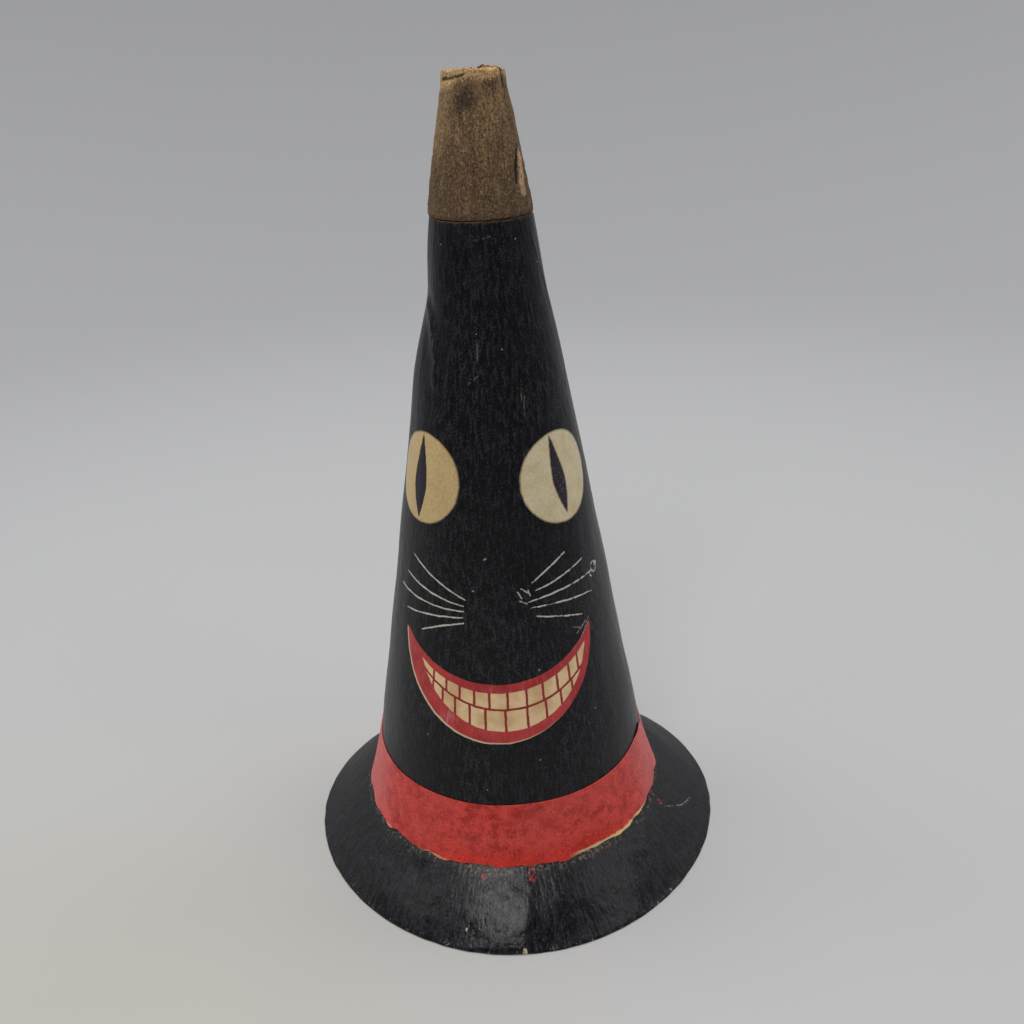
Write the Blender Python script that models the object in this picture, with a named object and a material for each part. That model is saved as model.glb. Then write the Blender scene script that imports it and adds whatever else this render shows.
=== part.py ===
"""Paper witch hat: a small rolled kraft-board cone in a black paper cover, with a red paper band and a pulp brim.

The cone's axis is +Z, the face looks along -Y, and the brim's edge stands on z = 0. Lengths are in metres.
A "turn" is an angle round the axis, 0 at the front and positive towards +X.
"""
import math

import bmesh
import bpy

MM = 0.001

# Crown: one straight taper from the base to the tip, pinched a little below the bare tip
HAT_HEIGHT = 190 * MM
CROWN_RADIUS_AT_FLOOR = 39.8 * MM
CROWN_TAPER = 0.1767
CROWN_FOOT = 13.2 * MM
WAIST_HEIGHT = 144 * MM
WAIST_SPREAD = 10 * MM
WAIST_DEPTH = 0.58 * MM
WAIST_LEAN = 0.25 * MM

# Layers of the crown, from the inside out
PAPER_GAP = 0.3 * MM
CORE_WALL = 1.2 * MM
COVER_WALL = 0.35 * MM
COVER_TOP = 162.4 * MM

# Red band round the foot of the crown: its upper edge lies a little higher at the back
BAND_FOOT = 14.3 * MM
BAND_TOP = 29.4 * MM
BAND_RISE = 1.25 * MM
BAND_WALL = 0.3 * MM
BAND_ROWS = 3

# Brim: a collar under the band, then a skirt that falls to its worn edge
COLLAR_TOP = 19 * MM
COLLAR_WALL = 0.4 * MM
NECK_HEIGHT = 14 * MM
NECK_WALL = 0.85 * MM
BRIM_WALL = 1.5 * MM
BRIM_REACH = 53.5 * MM
BRIM_BEND_OUT = 0.47
BRIM_BEND_UP = 0.58
EDGE_WIDTH = 2.1 * MM
BRIM_STEPS = 6

SEGMENTS = 60
CROWN_HEIGHTS = [30, 60, 90, 114, 124, 132, 138, 144, 150, 156]

# Dents and folds of the crown: positive depths go in, negative ones stand out
DENT_COLUMNS = ("height", "turn", "depth", "reach_up", "reach_round")
DENTS = [
    (146, -85, 0.35, 6, 30),
    (128, -84, -0.30, 7, 14),
    (126, 22, 0.25, 5, 12),
    (52, 84, 0.30, 6, 12),
    (98, -172, 0.35, 16, 26),
]

# Torn edge of the bare tip: where it stands above or falls below the hat's height
TEAR_COLUMNS = ("turn", "rise", "reach_round")
TEARS = [
    (150, 1.3, 17),
    (-62, -0.6, 26),
    (30, -0.4, 22),
]

# The brim's outline leaves a circle by these waves: how many lobes, where the first one points, how far it reaches
BRIM_WAVE_COLUMNS = ("lobes", "turn", "reach")
BRIM_WAVES = [
    (2, 90, 1.2),
    (3, 0, 1.0),
]

# Colour, roughness
FINISHES = {
    "cone_core": ((0.30, 0.20, 0.12), 0.85),
    "crown_cover": ((0.012, 0.012, 0.015), 0.38),
    "hat_band": ((0.58, 0.06, 0.06), 0.60),
    "brim": ((0.014, 0.014, 0.018), 0.30),
}


def clear_scene():
    for item in list(bpy.data.objects):
        bpy.data.objects.remove(item, do_unlink=True)


def angle_between(turn, degrees):
    """The turn from an angle in degrees to this turn, the short way round."""
    return (turn - math.radians(degrees) + math.pi) % (2 * math.pi) - math.pi


def dent_depth(height, turn):
    """How far the crown's surface lies inside its straight taper at this height and turn."""
    waist = WAIST_DEPTH - WAIST_LEAN * math.sin(turn)
    depth = waist * math.exp(-(((height - WAIST_HEIGHT) / WAIST_SPREAD) ** 2))
    for values in DENTS:
        dent = dict(zip(DENT_COLUMNS, values))
        up = (height - dent["height"] * MM) / (dent["reach_up"] * MM)
        around = angle_between(turn, dent["turn"]) / math.radians(dent["reach_round"])
        depth += dent["depth"] * MM * math.exp(-up * up - around * around)
    return depth


def tear_rise(turn):
    """How far the tip's torn edge stands above the hat's height at this turn."""
    rise = 0.0
    for values in TEARS:
        tear = dict(zip(TEAR_COLUMNS, values))
        around = angle_between(turn, tear["turn"]) / math.radians(tear["reach_round"])
        rise += tear["rise"] * MM * math.exp(-around * around)
    return rise


def taper_radius(height):
    return CROWN_RADIUS_AT_FLOOR - CROWN_TAPER * height


def brim_reach(turn):
    reach = BRIM_REACH
    for values in BRIM_WAVES:
        wave = dict(zip(BRIM_WAVE_COLUMNS, values))
        reach += wave["reach"] * MM * math.cos(wave["lobes"] * angle_between(turn, wave["turn"]))
    return reach


def spin_section(section):
    """Turn a closed section of (radius, height) points once round the axis, as one closed body."""
    bm = bmesh.new()
    ring = [bm.verts.new((0, -radius, height)) for radius, height in section]
    edges = [bm.edges.new(pair) for pair in zip(ring, ring[1:] + ring[:1])]
    bmesh.ops.spin(
        bm, geom=ring + edges, cent=(0, 0, 0), axis=(0, 0, 1),
        angle=2 * math.pi, steps=SEGMENTS, use_merge=True,
    )
    bmesh.ops.recalc_face_normals(bm, faces=bm.faces)
    return bm


def reshape(bm, rule):
    """Move each vertex to the radius and height that the rule gives for its radius, height and turn."""
    for vertex in bm.verts:
        x, y, height = vertex.co
        turn = math.atan2(x, -y)
        radius, height = rule(math.hypot(x, y), height, turn)
        vertex.co = (radius * math.sin(turn), -radius * math.cos(turn), height)


def follow_dents(radius, height, turn):
    return radius - dent_depth(height, turn), height


def add_piece(name, bm):
    mesh = bpy.data.meshes.new(name)
    bm.to_mesh(mesh)
    bm.free()
    mesh.shade_smooth()
    mesh.set_sharp_from_angle(angle=math.radians(40))
    piece = bpy.data.objects.new(name, mesh)
    bpy.context.scene.collection.objects.link(piece)
    colour, roughness = FINISHES[name]
    material = bpy.data.materials.new(name)
    material.use_nodes = True
    shader = material.node_tree.nodes["Principled BSDF"]
    shader.inputs["Base Color"].default_value = (*colour, 1)
    shader.inputs["Roughness"].default_value = roughness
    shader.inputs["Metallic"].default_value = 0
    mesh.materials.append(material)
    return piece


def crown_rows(foot, top):
    """The heights of the rows of faces between the foot and the top of a layer."""
    return [foot] + [row * MM for row in CROWN_HEIGHTS if foot < row * MM < top] + [top]


def taper_points(rows, inset):
    """Points that lie this far inside the taper, one at each height."""
    return [(taper_radius(height) - inset, height) for height in rows]


def make_cone_core():
    """Rolled board, bare above the cover, where it stands out to the cover's own surface."""
    hidden_inset = COVER_WALL + PAPER_GAP
    shoulder = COVER_TOP + PAPER_GAP
    hidden_rows = crown_rows(CROWN_FOOT, shoulder)
    bare_rows = [shoulder, (shoulder + HAT_HEIGHT) / 2, HAT_HEIGHT]
    outside = taper_points(hidden_rows, hidden_inset) + taper_points(bare_rows, 0)
    inside = taper_points(hidden_rows[:-1] + bare_rows, hidden_inset + CORE_WALL)
    bm = spin_section(outside + inside[::-1])

    def tear_edge(radius, height, turn):
        torn = max(0.0, (height - bare_rows[1]) / (HAT_HEIGHT - bare_rows[1]))
        return follow_dents(radius, height + torn * tear_rise(turn), turn)

    reshape(bm, tear_edge)
    return add_piece("cone_core", bm)


def make_crown_cover():
    """Black printed paper, wrapped round the core from its foot to the bare tip."""
    rows = crown_rows(CROWN_FOOT, COVER_TOP)
    bm = spin_section(taper_points(rows, 0) + taper_points(rows, COVER_WALL)[::-1])
    reshape(bm, follow_dents)
    return add_piece("crown_cover", bm)


def make_hat_band():
    """Red paper strip: close on the cover at its top, and clear of the brim's neck at its foot."""
    clear_of_neck = PAPER_GAP + NECK_WALL + PAPER_GAP
    inside = []
    for row in range(BAND_ROWS + 1):
        share = row / BAND_ROWS
        height = BAND_FOOT + share * (BAND_TOP - BAND_FOOT)
        stand_off = clear_of_neck + share * (PAPER_GAP - clear_of_neck)
        inside.append((taper_radius(height) + stand_off, height))
    outside = [(radius + BAND_WALL, height) for radius, height in inside]
    bm = spin_section(outside + inside[::-1])

    def raise_top(radius, height, turn):
        share = (height - BAND_FOOT) / (BAND_TOP - BAND_FOOT)
        rise = share * BAND_RISE * (1 - math.cos(turn))
        return follow_dents(radius - CROWN_TAPER * rise, height + rise, turn)

    reshape(bm, raise_top)
    return add_piece("hat_band", bm)


def skirt_point(share, reach):
    """A point of the skirt's upper side, on a quadratic curve from the neck to the edge, and its outward normal."""
    start = (taper_radius(NECK_HEIGHT) + PAPER_GAP + NECK_WALL, NECK_HEIGHT)
    bend = (start[0] + (reach - start[0]) * BRIM_BEND_OUT, NECK_HEIGHT * BRIM_BEND_UP)
    end = (reach, 0.0)
    rest = 1 - share
    point = [rest * rest * a + 2 * rest * share * b + share * share * c for a, b, c in zip(start, bend, end)]
    run, fall = [2 * rest * (b - a) + 2 * share * (c - b) for a, b, c in zip(start, bend, end)]
    length = math.hypot(run, fall)
    return point, (-fall / length, run / length)


def make_brim():
    """Pressed pulp: a collar round the crown's foot, and a skirt with a hollow underside and a flat worn edge."""
    shares = [step / BRIM_STEPS for step in range(BRIM_STEPS + 1)]
    upper = []
    lower = []
    for share in shares:
        point, normal = skirt_point(share, BRIM_REACH)
        upper.append((point[0], point[1]))
        lower.append((point[0] - normal[0] * BRIM_WALL, point[1] - normal[1] * BRIM_WALL))
    lower[-1] = (BRIM_REACH - EDGE_WIDTH, 0.0)
    collar_inside = taper_points([NECK_HEIGHT - BRIM_WALL, COLLAR_TOP], -PAPER_GAP)
    collar_top = taper_points([COLLAR_TOP], -PAPER_GAP - COLLAR_WALL)
    bm = spin_section(collar_top + upper + lower[:0:-1] + collar_inside)
    neck_radius = upper[0][0]

    def pull_outline(radius, height, turn):
        share = max(0.0, (radius - neck_radius) / (BRIM_REACH - neck_radius))
        return radius + share * (brim_reach(turn) - BRIM_REACH), height

    reshape(bm, pull_outline)
    return add_piece("brim", bm)


def main():
    clear_scene()
    make_cone_core()
    make_crown_cover()
    make_hat_band()
    make_brim()


main()
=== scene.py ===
# %% [markdown]
# # A small paper witch hat
#
# The hat is a cone of rolled brown board. Black paper with a printed cat face is wrapped round it, a red
# strip hides where it meets the brim, and the brim is pressed paper pulp under gloss black paint.
#
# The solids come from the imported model, which is loaded first. They fix every size and place, and the
# pieces made here are finer copies of the same shapes, with the paper's laps, folds, tears and colours.

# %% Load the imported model
import math
from functools import reduce

import bpy
import numpy as np
from mathutils import Matrix, Vector


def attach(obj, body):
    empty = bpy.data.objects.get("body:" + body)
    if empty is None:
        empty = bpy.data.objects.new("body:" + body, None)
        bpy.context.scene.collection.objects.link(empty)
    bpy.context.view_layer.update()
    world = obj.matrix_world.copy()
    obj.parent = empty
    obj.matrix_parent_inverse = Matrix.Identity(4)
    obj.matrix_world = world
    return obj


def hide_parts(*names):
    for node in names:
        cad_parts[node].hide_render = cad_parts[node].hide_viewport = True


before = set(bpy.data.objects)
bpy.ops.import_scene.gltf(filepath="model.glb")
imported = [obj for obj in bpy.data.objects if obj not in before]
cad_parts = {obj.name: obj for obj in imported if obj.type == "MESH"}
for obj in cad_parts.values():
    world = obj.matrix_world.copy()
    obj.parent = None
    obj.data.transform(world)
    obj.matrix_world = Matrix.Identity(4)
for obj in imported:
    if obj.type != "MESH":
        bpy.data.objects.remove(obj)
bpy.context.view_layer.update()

# %% [markdown]
# ## The camera
#
# The picture was taken from a little above the hat, with the camera held not quite level. The camera's place
# and angles were found by fitting the hat's own sizes to its outline, and here they are turned into the three
# directions of a camera: to its right, up, and backwards. A matrix of those is exact, where an aim at a point
# would lose the small roll that makes the hat lean in the picture.

# %% The camera
CAMERA_PLACE = (0.0, -0.2265, 0.1999)
CAMERA_DOWN = math.radians(25.7)
CAMERA_YAW = 0.015
CAMERA_ROLL = -0.051
CAMERA_LENS = 36.1


def put_in_scene(name, data):
    """A new object that holds the data."""
    made = bpy.data.objects.new(name, data)
    bpy.context.scene.collection.objects.link(made)
    return made


def aim_camera():
    """Forward looks down by one angle and round by another; right and up are then rolled about it."""
    forward = Vector((
        math.sin(CAMERA_YAW) * math.cos(CAMERA_DOWN),
        math.cos(CAMERA_YAW) * math.cos(CAMERA_DOWN),
        -math.sin(CAMERA_DOWN),
    ))
    right = Vector((math.cos(CAMERA_YAW), -math.sin(CAMERA_YAW), 0.0))
    up = right.cross(forward)
    rolled_right = right * math.cos(CAMERA_ROLL) + up * math.sin(CAMERA_ROLL)
    rolled_up = up * math.cos(CAMERA_ROLL) - right * math.sin(CAMERA_ROLL)
    turned = Matrix((rolled_right, rolled_up, -forward)).transposed().to_4x4()
    return Matrix.Translation(CAMERA_PLACE) @ turned


camera = put_in_scene("camera", bpy.data.cameras.new("camera"))
camera.data.lens = CAMERA_LENS
camera.data.sensor_width = 36
camera.data.clip_start = 0.01
camera.data.clip_end = 50
camera.matrix_world = aim_camera()
bpy.context.scene.camera = camera
print("camera at", CAMERA_PLACE, "lens", CAMERA_LENS)

# %% [markdown]
# ## Shader sums written as Python
#
# A pattern on the hat is a sum of many small steps: a distance here, a noise there. As loose nodes they are
# hard to read, so one small class stands for a node's output and turns each Python operator into a Math node.
# A colour never goes through a Math node, because that would make it grey: colours have a mix of their own.

# %% A socket that takes part in sums
def operator(operation, reflected=False):
    """A method that joins two values in a Math node. A reflected one takes them in the other order."""
    def method(self, other):
        values = (other, self) if reflected else (self, other)
        return self.finish.node("ShaderNodeMath", {"operation": operation}, dict(enumerate(values)))
    return method


class Socket:
    """One output of a node, which takes part in sums as a number does."""

    __add__ = operator("ADD")
    __radd__ = operator("ADD", reflected=True)
    __sub__ = operator("SUBTRACT")
    __rsub__ = operator("SUBTRACT", reflected=True)
    __mul__ = operator("MULTIPLY")
    __rmul__ = operator("MULTIPLY", reflected=True)
    __truediv__ = operator("DIVIDE")
    __rtruediv__ = operator("DIVIDE", reflected=True)
    __pow__ = operator("POWER")
    least = operator("MINIMUM")
    most = operator("MAXIMUM")

    def __init__(self, finish, output):
        self.finish = finish
        self.output = output

    def reckon(self, operation, *others):
        """The Math node of this name on this value and any others."""
        return self.finish.node("ShaderNodeMath", {"operation": operation}, dict(enumerate((self, *others))))

    def __neg__(self):
        return self * -1.0

    def __abs__(self):
        return self.reckon("ABSOLUTE")

    def diagonal(self, other):
        """The root of the sum of two squares."""
        return (self * self + other * other).reckon("SQRT")

    def part(self, index):
        """One number of a vector: 0, 1 or 2 for x, y or z."""
        return self.finish.node("ShaderNodeSeparateXYZ", {}, {0: self}, index)


def strongest(masks):
    """The largest of several masks."""
    return reduce(Socket.most, masks)


# %% A finish
def linear(red, green, blue):
    """A screen colour of 0 to 255 as the linear colour that a shader takes."""
    shares = np.array([red, green, blue]) / 255
    low = shares / 12.92
    high = ((shares + 0.055) / 1.055) ** 2.4
    return (*(float(c) for c in np.where(shares <= 0.04045, low, high)), 1.0)


class Finish:
    """A material, with one method for any node and a few named steps made from it. The place on the piece is
    in metres, x and y too; the height is in millimetres, and the turn is 0 at the front."""

    def __init__(self, name, specular):
        self.material = bpy.data.materials.new(name)
        self.material.use_nodes = True
        self.tree = self.material.node_tree
        self.shader = self.tree.nodes["Principled BSDF"]
        self.shader.inputs["Specular IOR Level"].default_value = specular
        self.place = self.node("ShaderNodeTexCoord", output="Object")
        self.x = self.place.part(0)
        self.y = self.place.part(1)
        self.height = self.place.part(2) * 1000
        self.turn = self.x.reckon("ARCTAN2", -self.y)
        self.from_axis = self.x.diagonal(self.y)

    def join(self, value, socket):
        if isinstance(value, Socket):
            self.tree.links.new(value.output, socket)
        else:
            socket.default_value = value

    def node(self, kind, settings=None, values=None, output=0):
        """Add a node: its settings first, then a value or a link for each socket that is named."""
        made = self.tree.nodes.new(kind)
        for name, setting in (settings or {}).items():
            setattr(made, name, setting)
        for name, value in (values or {}).items():
            self.join(value, made.inputs[name])
        return Socket(self, made.outputs[output])

    def fade(self, value, start, end):
        """0 before start and 1 after end, with a smooth step between; start may be the larger."""
        return self.node("ShaderNodeMapRange", {"interpolation_type": "SMOOTHSTEP"}, {
            "Value": value, "From Min": start, "From Max": end,
        })

    def mix(self, share, first, second):
        """The first colour where share is 0 and the second where it is 1. A colour is a socket, or three
        screen numbers of 0 to 255."""
        first, second = (c if isinstance(c, Socket) else linear(*c) for c in (first, second))
        return self.node("ShaderNodeMix", {"data_type": "RGBA"}, {0: share, 6: first, 7: second}, 2)

    def stretched(self, upward):
        """The place with its height multiplied, so that a noise is drawn out upwards if this is below 1."""
        times = (1, 1, upward)
        return self.node("ShaderNodeVectorMath", {"operation": "MULTIPLY"}, {0: self.place, 1: times})

    def noise(self, where, scale, detail=2.0, roughness=0.5):
        """Soft noise about 0.5 at this many waves per unit of the place."""
        return self.node("ShaderNodeTexNoise", {}, {
            "Vector": where, "Scale": scale, "Detail": detail, "Roughness": roughness,
        })

    def specks(self, scale, size):
        """Sparse round specks: 1 within size of a few of the cells' centres."""
        cells = self.node("ShaderNodeTexVoronoi", {}, {"Vector": self.place, "Scale": scale})
        chosen = self.noise(self.place, scale * 0.31, 1.0)
        return self.fade(cells, size, size * 0.5) * self.fade(chosen, 0.58, 0.64)

    def marked(self, name):
        """The number that each point of the piece keeps under this name."""
        return self.node("ShaderNodeAttribute", {"attribute_name": name}, output="Fac")

    def use(self, colour, roughness, relief=None):
        """Give the shader its colour, roughness and relief, which is a height in millimetres."""
        self.join(colour, self.shader.inputs["Base Color"])
        self.join(roughness, self.shader.inputs["Roughness"])
        if relief is not None:
            bump = self.node("ShaderNodeBump", {}, {"Strength": 1.0, "Distance": MM, "Height": relief})
            self.join(bump, self.shader.inputs["Normal"])
        return self.material


class Coats:
    """Colours laid over each other."""

    def __init__(self, finish, colour):
        self.finish = finish
        self.colour = colour

    def lay(self, share, colour):
        """One more colour, as strong as its share of 0 to 1."""
        self.colour = self.finish.mix(share, self.colour, colour)


print("shader tools ready")

# %% [markdown]
# ## Surfaces worked out as grids
#
# Every layer of the hat goes once round the axis, so each is a closed ring: a section of radius and height,
# carried round by a turn. A turn of 0 faces the front and grows towards the viewer's right. The whole ring
# is computed as arrays with one row for each point of the section and one column for each turn. That could
# be done with a Spin and a Displace modifier, but arrays keep each lap, fold and tear where it belongs.

# %% Curves and unevenness
MM = 0.001


def smooth_step(value, start, end):
    """0 before start, 1 after end, and s s (3 - 2 s) between them."""
    share = np.clip((value - start) / (end - start), 0, 1)
    return share * share * (3 - 2 * share)


def bell(away, reach):
    """1 in the middle, and exp(-(away / reach)^2) around it."""
    return np.exp(-(away / reach) ** 2)


def degrees_from(turn, degrees):
    """The angle in degrees from a place to each turn, the short way round."""
    return (np.degrees(turn) - degrees + 180) % 360 - 180


def ripple(turn, height, seed, lobes, waves, count=28):
    """Seeded unevenness of about unit size: the sum of cosines, each with a whole number of lobes round the
    axis and its own waves per 100 mm of height, divided by the root of half their number."""
    draw = np.random.default_rng(seed)
    total = np.zeros(np.broadcast(turn, height).shape)
    for _ in range(count):
        around = int(draw.integers(-lobes, lobes + 1))
        upward = draw.uniform(-waves, waves)
        total += np.cos(around * turn + 2 * np.pi * upward * height / 100 + draw.uniform(0, 2 * np.pi))
    return total / math.sqrt(count / 2)


def unrolled(chain, radius):
    """The straight pieces of a chain of (degrees, height), in millimetres round the axis and up."""
    points = [(math.radians(degrees) * radius, height) for degrees, height in chain]
    return zip(points, points[1:])


def chain_away(turn, height, chain, radius):
    """Distance from a chain, unrolled at one radius: for a piece from a to b the nearest point is
    a + s (b - a), with s = (p - a).(b - a) / |b - a|^2 held between 0 and 1."""
    x = turn * radius
    nearest = np.inf
    for (ax, ay), (bx, by) in unrolled(chain, radius):
        run, rise = bx - ax, by - ay
        share = np.clip(((x - ax) * run + (height - ay) * rise) / (run ** 2 + rise ** 2), 0, 1)
        nearest = np.minimum(nearest, np.hypot(x - ax - share * run, height - ay - share * rise))
    return nearest


# %% Rings round the axis
UV_MARGIN = 0.004


def columns_round(count):
    """The turns of this many columns, from the back round to the back."""
    return np.linspace(-np.pi, np.pi, count + 1)[:-1]


def shares_of(lengths):
    """Where each row or column starts on the flat map, as a share of all their lengths."""
    total = np.concatenate([[0.0], np.cumsum(lengths)])
    return total / total[-1]


def ring_piece(name, radius, height, turn, sizes, widths=None, sharp=45):
    """A closed ring from arrays of rows by columns: x = r sin(turn), y = -r cos(turn), z = height.

    Each face joins a row to the next and a column to the next, and the last ones to the first. The signed
    volume, a sixth of the sum of a.(b x c) over the triangles, tells whether the faces point inwards, and
    they are turned round if it is negative. The flat map is a rectangle, shared out by the rows' sizes and
    the columns' widths."""
    points = np.stack([radius * np.sin(turn), -radius * np.cos(turn), height + 0 * turn], axis=-1) * MM
    rows, columns = points.shape[:2]
    along = shares_of(sizes)
    across = shares_of(np.ones(columns) if widths is None else widths)
    row, column = np.meshgrid(np.arange(rows), np.arange(columns), indexing="ij")
    corners = [(row, column), (row, column + 1), (row + 1, column + 1), (row + 1, column)]
    faces = np.stack([(r % rows) * columns + c % columns for r, c in corners], axis=-1).reshape(-1, 4)
    flat = [np.stack([across[c], along[r]], axis=-1) for r, c in corners]
    flat = np.stack(flat, axis=2).reshape(-1, 4, 2)
    vertices = points.reshape(-1, 3)
    a, b, c, d = (vertices[faces[:, corner]] for corner in range(4))
    volume = (np.sum(a * np.cross(b, c)) + np.sum(a * np.cross(c, d))) / 6
    if volume < 0:
        faces = faces[:, ::-1]
        flat = flat[:, ::-1]
    mesh = bpy.data.meshes.new(name)
    mesh.from_pydata(vertices, [], faces)
    flat = (UV_MARGIN + (1 - 2 * UV_MARGIN) * flat).astype(np.float32)
    mesh.uv_layers.new(name="OFBake").data.foreach_set("uv", flat.ravel())
    mesh.shade_smooth()
    mesh.set_sharp_from_angle(angle=math.radians(sharp))
    print(name, "faces", len(faces), "volume cm3", round(abs(volume) * 1e6, 2))
    return put_in_scene(name, mesh)


def mark_points(piece, name, values):
    """Keep a number with each point of the piece, for its finish to read."""
    attribute = piece.data.attributes.new(name, "FLOAT", "POINT")
    attribute.data.foreach_set("value", values.astype(np.float32))


def dress(piece, finish, node):
    """Give the piece its material, and let it ride on the hat in place of its solid."""
    piece.data.materials.append(finish)
    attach(piece, "root")
    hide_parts(node)
    print(piece.name, "dressed, nodes:", len(finish.node_tree.nodes))


# %% [markdown]
# ## The crown's own shape
#
# The crown is a straight taper that was squeezed by hands: a waist under the bare tip, a few dents, and the
# small unevenness of rolled board. The numbers of the taper and the dents are those of the solids, so each
# finer layer lies where its solid does.

# %% The taper and its dents
FLOOR_RADIUS = 39.8
TAPER = 0.1767
CROWN_FOOT = 13.2
COVER_TOP = 162.4
TIP_TOP = 190.0
WAIST_HEIGHT = 144
WAIST_SPREAD = 10

# Height, turn, depth, and reach upwards and round
DENTS = [
    (146, -85, 0.35, 6, 30),
    (128, -84, -0.30, 7, 14),
    (126, 22, 0.25, 5, 12),
    (52, 84, 0.30, 6, 12),
    (98, -172, 0.35, 16, 26),
]


def taper(height):
    """Radius of the straight taper."""
    return FLOOR_RADIUS - TAPER * height


def dent(height, turn):
    """Depth below the taper: the waist is a bell over height, deeper on the left, and each dent is a bell
    over height and turn."""
    depth = (0.58 - 0.25 * np.sin(turn)) * bell(height - WAIST_HEIGHT, WAIST_SPREAD)
    for at_height, at_turn, deep, up, round_axis in DENTS:
        depth = depth + deep * bell(height - at_height, up) * bell(degrees_from(turn, at_turn), round_axis)
    return depth


def crown(height, turn):
    """The crown's outer radius, with the board's slight unevenness."""
    return taper(height) - dent(height, turn) + 0.06 * ripple(turn, height, 11, 7, 5)


print("crown radius at the foot and the cover's top:", taper(CROWN_FOOT), taper(COVER_TOP))

# %% [markdown]
# ## The black cover
#
# On the real hat this is one sheet of black paper, printed with the face before it was wrapped and glued. It
# has a lap down the back, a pressed crease where a thumb bent it on the left, a short deep fold near the
# right eye, and a worn line near the right side. These are real relief, so they are in the grid and not only
# in the shader. The rows are closer together where the folds are.

# %% Folds of the cover
CREASE = [(-77.8, 144.7), (-63.1, 141.4), (-53.3, 137.1), (-47.8, 132.9), (-46.4, 128.5)]
FOLD = [(23.9, 132.8), (20.8, 128.8), (22.5, 125.7), (23.2, 122.9)]
WORN_LINE = [(60.8, 158.4), (79.5, 146.5), (89, 138), (85.7, 128.3), (72.5, 124.6)]
COVER_LAP = 168
COVER_WALL = 0.35


def cover_lap(turn):
    """One more thickness of paper beyond the lap's edge, easing off as the sheets settle on each other."""
    past = degrees_from(turn, COVER_LAP)
    return 0.24 * smooth_step(past, -0.6, 0.6) * smooth_step(-past, -16, -6)


def cover_relief(height, turn):
    """How far the paper stands out: a ridge along the crease, a groove along the fold with raised lips, a low
    ridge along the worn line, and the lap."""
    ridge = chain_away(turn, height, CREASE, 13.5)
    fold = chain_away(turn, height, FOLD, 16.5)
    worn = chain_away(turn, height, WORN_LINE, 13.5)
    relief = 0.22 * bell(ridge, 0.7) - 0.16 * bell(ridge - 2.2, 1.3)
    relief += 0.10 * bell(fold - 1.1, 0.6) - 0.34 * bell(fold, 0.5)
    relief += 0.10 * bell(worn, 0.7)
    uneven = 0.018 * ripple(turn, height, 12, 34, 3) + 0.012 * ripple(turn, height, 13, 60, 22)
    return relief + cover_lap(turn) + uneven * smooth_step(height, 28, 36)


# %% Wrap the cover
def make_cover(columns=340):
    """Outside rows from the foot to the top, a row on the cut edge, and a few rows down the inside. The front
    half takes 70 parts in 100 of the flat map, because the printed face needs them."""
    turns = columns_round(columns)
    outside = np.concatenate([np.arange(CROWN_FOOT, 118, 0.95), np.arange(118, COVER_TOP - 0.4, 0.55)])
    inside = np.linspace(COVER_TOP, CROWN_FOOT, 18)
    counts = [len(outside), 1, len(inside)]
    height = np.concatenate([outside, [COVER_TOP - 0.12], inside])[:, None]
    turn = np.broadcast_to(turns, (len(height), columns))
    inset = np.repeat([0.0, 0.05, COVER_WALL], counts)[:, None]
    outer = np.repeat([1.0, 1.0, 0.0], counts)
    radius = crown(height, turn) - inset + outer[:, None] * cover_relief(height, turn)
    wavy = height + smooth_step(height, 158, COVER_TOP) * 0.08 * ripple(turn, 0 * height, 14, 22, 0)
    face_rows = np.where((outside > 44) & (outside < 122), 1.5, 0.8)
    sizes = np.concatenate([face_rows, np.full(len(inside) + 1, 0.35)])
    widths = np.where(np.abs(turns + np.pi / columns) < np.pi / 2, 0.7, 0.3)
    piece = ring_piece("printed_cover", radius, wavy, turn, sizes, widths)
    mark_points(piece, "unprinted", np.repeat(1 - outer, columns))
    return piece


printed_cover = make_cover()

# %% [markdown]
# ## The printed face
#
# The face was printed on the flat sheet, so its shapes are plain ones there: round eyes with slit pupils,
# whiskers as thin bowed strokes, and a mouth between two arcs. A cone unrolls into a fan, and the shader
# works out where each spot of the cone lies on that flat fan: its distance from the fan's point is the slant
# height, and its angle is the turn times the sine of the cone's half angle. Then each shape is a distance
# on flat paper, and its edge stays crisp at any size.

# %% The flat sheet
FAN_POINT = 225.4
SLANT = 1.0155
FAN_ANGLE = 0.174
FACE_TURN = math.radians(-5)
TEETH_SLANT = 172
INK_WOBBLE = 0.32


def on_sheet(degrees, height):
    """Where a turn in degrees and a height lie on the flat sheet."""
    angle = (math.radians(degrees) - FACE_TURN) * FAN_ANGLE
    slant = (FAN_POINT - height) * SLANT
    return (slant * math.sin(angle), -slant * math.cos(angle))


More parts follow.
